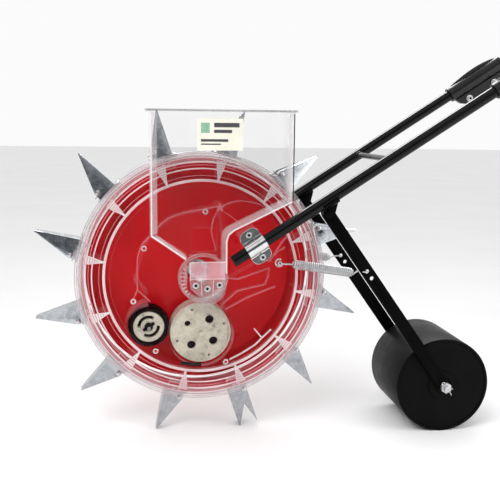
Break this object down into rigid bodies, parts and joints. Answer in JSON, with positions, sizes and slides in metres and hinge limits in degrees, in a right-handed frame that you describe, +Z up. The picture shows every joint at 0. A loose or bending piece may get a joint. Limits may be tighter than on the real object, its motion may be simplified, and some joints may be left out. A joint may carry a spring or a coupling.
{
  "type": "push seeder",
  "caption": "Hand-pushed rolling seeder: clear drum with duckbill openers, seed hopper, metering wheel, push bars and a sprung press roller.",
  "frame": {"origin": "bottom centre of the bounding box, on the ground", "axes": "+X towards the handles, opposite to travel; +Y along the axle, away from the hopper; +Z up"},
  "size_m": [1.421, 0.257, 0.943],
  "materials": {
    "clear_plastic": "clear moulded plastic, glossy, slightly milky at the edges",
    "red_plastic": "red moulded plastic",
    "beige_plastic": "beige nylon",
    "bristle": "black nylon bristle",
    "zinc": "galvanised sheet steel",
    "steel": "bright zinc-plated steel",
    "spring_steel": "spring steel",
    "chrome": "polished chrome",
    "gloss_black": "gloss black powder coat",
    "black_plastic": "black moulded plastic",
    "roller_plastic": "black satin plastic",
    "rubber": "black rubber"
  },
  "bodies": {
    "frame": {"hopper": "clear_plastic", "front_cover": "clear_plastic", "seed_chamber": "clear_plastic", "hub_housing": "clear_plastic", "axle": "steel", "cross_rod": "steel", "near_tension_spring": "spring_steel", "far_tension_spring": "spring_steel", "far_bracket": "black_plastic", "near_connector": "black_plastic", "far_connector": "black_plastic", "near_clamp": "chrome", "far_clamp": "chrome", "near_push_bar": "gloss_black", "far_push_bar": "gloss_black", "near_handle_tube": "gloss_black", "far_handle_tube": "gloss_black", "near_pivot_bracket": "gloss_black", "far_pivot_bracket": "gloss_black", "near_grip": "rubber", "far_grip": "rubber"},
    "drum": {"drum_ring": "clear_plastic", "drum_disc": "red_plastic", "ring_gear": "beige_plastic", "drum_bearing": "steel", "fixed_jaw_01": "zinc", "fixed_jaw_02": "zinc", "fixed_jaw_03": "zinc", "fixed_jaw_04": "zinc", "fixed_jaw_05": "zinc", "fixed_jaw_06": "zinc", "fixed_jaw_07": "zinc", "fixed_jaw_08": "zinc", "fixed_jaw_09": "zinc", "fixed_jaw_10": "zinc", "fixed_jaw_11": "zinc", "fixed_jaw_12": "zinc"},
    "metering_wheel": {"metering_wheel": "beige_plastic"},
    "brush_wheel": {"brush_core": "beige_plastic", "brush_bristles": "bristle"},
    "press_arms": {"near_press_arm": "gloss_black", "far_press_arm": "gloss_black", "roller_axle": "steel"},
    "press_roller": {"press_roller": "roller_plastic"},
    "jaw_01": {"moving_jaw_01": "zinc"},
    "jaw_02": {"moving_jaw_02": "zinc"},
    "jaw_03": {"moving_jaw_03": "zinc"},
    "jaw_04": {"moving_jaw_04": "zinc"},
    "jaw_05": {"moving_jaw_05": "zinc"},
    "jaw_06": {"moving_jaw_06": "zinc"},
    "jaw_07": {"moving_jaw_07": "zinc"},
    "jaw_08": {"moving_jaw_08": "zinc"},
    "jaw_09": {"moving_jaw_09": "zinc"},
    "jaw_10": {"moving_jaw_10": "zinc"},
    "jaw_11": {"moving_jaw_11": "zinc"},
    "jaw_12": {"moving_jaw_12": "zinc"}
  },
  "joints": [
    {"name": "drum_spin", "type": "hinge", "parent": "frame", "child": "drum", "pos_m": [-0.42389, 0.0075, 0.2866], "axis": [0, 1, 0], "continuous": true},
    {"name": "metering_spin", "type": "hinge", "parent": "frame", "child": "metering_wheel", "pos_m": [-0.42389, 0.0075, 0.1834], "axis": [0, 1, 0], "continuous": true},
    {"name": "brush_spin", "type": "hinge", "parent": "frame", "child": "brush_wheel", "pos_m": [-0.51511, 0.0075, 0.19538], "axis": [0, 1, 0], "continuous": true},
    {"name": "press_arm_pivot", "type": "hinge", "parent": "frame", "child": "press_arms", "pos_m": [-0.21289, 0.0075, 0.4021], "axis": [0, 1, 0], "range_deg": [0, 14], "stiffness_Nm_per_rad": 5, "springref_deg": 22.92, "deforming": ["near_tension_spring", "far_tension_spring"]},
    {"name": "roller_spin", "type": "hinge", "parent": "press_arms", "child": "press_roller", "pos_m": [0.01211, 0.0075, 0.086], "axis": [0, 1, 0], "continuous": true},
    {"name": "jaw_hinge_01", "type": "hinge", "parent": "drum", "child": "jaw_01", "pos_m": [-0.21074, 0.0075, 0.36703], "axis": [0, -1, 0], "range_deg": [0, 28], "stiffness_Nm_per_rad": 1, "springref_deg": -5.73},
    {"name": "jaw_hinge_02", "type": "hinge", "parent": "drum", "child": "jaw_02", "pos_m": [-0.27951, 0.0075, 0.46283], "axis": [0, -1, 0], "range_deg": [0, 28], "stiffness_Nm_per_rad": 1, "springref_deg": -5.73},
    {"name": "jaw_hinge_03", "type": "hinge", "parent": "drum", "child": "jaw_03", "pos_m": [-0.38697, 0.0075, 0.51141], "axis": [0, -1, 0], "range_deg": [0, 28], "stiffness_Nm_per_rad": 1, "springref_deg": -5.73},
    {"name": "jaw_hinge_04", "type": "hinge", "parent": "drum", "child": "jaw_04", "pos_m": [-0.50432, 0.0075, 0.49975], "axis": [0, -1, 0], "range_deg": [0, 28], "stiffness_Nm_per_rad": 1, "springref_deg": -5.73},
    {"name": "jaw_hinge_05", "type": "hinge", "parent": "drum", "child": "jaw_05", "pos_m": [-0.60012, 0.0075, 0.43098], "axis": [0, -1, 0], "range_deg": [0, 28], "stiffness_Nm_per_rad": 1, "springref_deg": -5.73},
    {"name": "jaw_hinge_06", "type": "hinge", "parent": "drum", "child": "jaw_06", "pos_m": [-0.6487, 0.0075, 0.32352], "axis": [0, -1, 0], "range_deg": [0, 28], "stiffness_Nm_per_rad": 1, "springref_deg": -5.73},
    {"name": "jaw_hinge_07", "type": "hinge", "parent": "drum", "child": "jaw_07", "pos_m": [-0.63704, 0.0075, 0.20617], "axis": [0, -1, 0], "range_deg": [0, 28], "stiffness_Nm_per_rad": 1, "springref_deg": -5.73},
    {"name": "jaw_hinge_08", "type": "hinge", "parent": "drum", "child": "jaw_08", "pos_m": [-0.56827, 0.0075, 0.11037], "axis": [0, -1, 0], "range_deg": [0, 28], "stiffness_Nm_per_rad": 1, "springref_deg": -5.73},
    {"name": "jaw_hinge_09", "type": "hinge", "parent": "drum", "child": "jaw_09", "pos_m": [-0.46081, 0.0075, 0.06179], "axis": [0, -1, 0], "range_deg": [0, 28], "stiffness_Nm_per_rad": 1, "springref_deg": -5.73},
    {"name": "jaw_hinge_10", "type": "hinge", "parent": "drum", "child": "jaw_10", "pos_m": [-0.34346, 0.0075, 0.07345], "axis": [0, -1, 0], "range_deg": [-26, 2], "stiffness_Nm_per_rad": 1},
    {"name": "jaw_hinge_11", "type": "hinge", "parent": "drum", "child": "jaw_11", "pos_m": [-0.24766, 0.0075, 0.14222], "axis": [0, -1, 0], "range_deg": [0, 28], "stiffness_Nm_per_rad": 1, "springref_deg": -5.73},
    {"name": "jaw_hinge_12", "type": "hinge", "parent": "drum", "child": "jaw_12", "pos_m": [-0.19908, 0.0075, 0.24968], "axis": [0, -1, 0], "range_deg": [0, 28], "stiffness_Nm_per_rad": 1, "springref_deg": -5.73}
  ],
  "couplings": [
    {"joint": "metering_spin", "follows": "drum_spin", "ratio": 3},
    {"joint": "brush_spin", "follows": "drum_spin", "ratio": 6}
  ]
}
